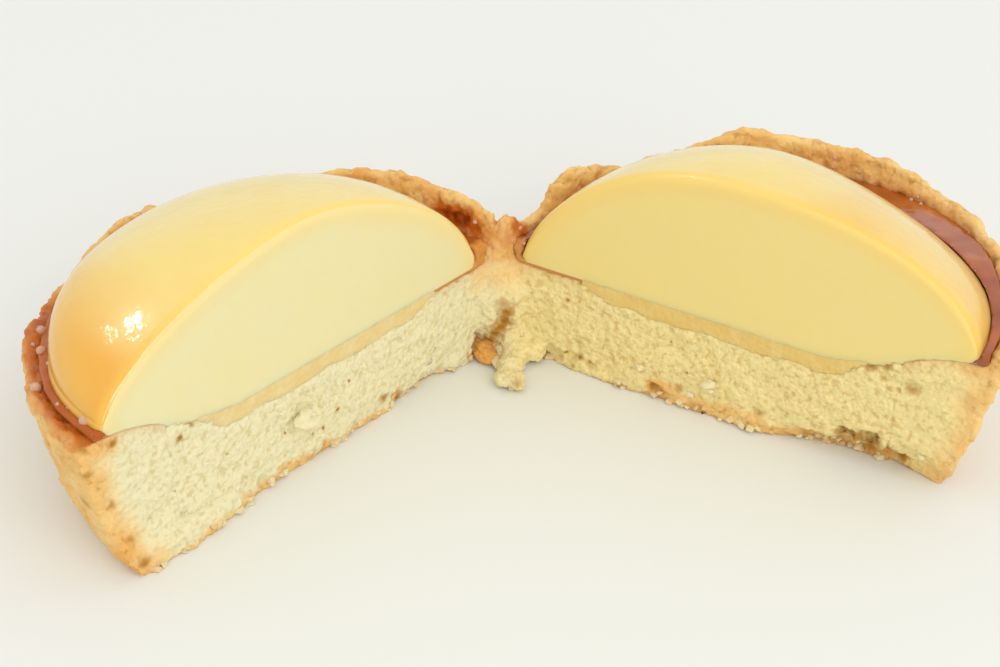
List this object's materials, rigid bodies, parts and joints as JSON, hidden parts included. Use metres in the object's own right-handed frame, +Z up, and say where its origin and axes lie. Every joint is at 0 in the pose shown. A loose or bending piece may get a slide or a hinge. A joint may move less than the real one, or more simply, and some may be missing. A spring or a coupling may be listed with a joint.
{
  "type": "custard tart",
  "caption": "Single-portion custard pudding tart in a thick shortcrust case, cut across and opened like a book, so that its sponge, custard and caramel layers show.",
  "frame": {"origin": "middle of the base of the tart's box, on the surface it stands on", "axes": "+X from the left half to the right half, +Y from the open side of the cut towards the hinge, +Z up"},
  "size_m": [0.135, 0.0764, 0.0399],
  "materials": {
    "crust": "dry, baked golden brown outside and pale crumb where cut",
    "sponge": "dry open crumb",
    "custard_layer": "moist",
    "pudding": "glossy dome, satin where cut",
    "caramel": "wet gloss"
  },
  "bodies": {
    "root": {"crust": "crust", "sponge_left": "sponge", "sponge_right": "sponge", "custard_layer_left": "custard_layer", "custard_layer_right": "custard_layer", "pudding_left": "pudding", "pudding_right": "pudding", "caramel_left": "caramel", "caramel_right": "caramel"}
  },
  "joints": []
}
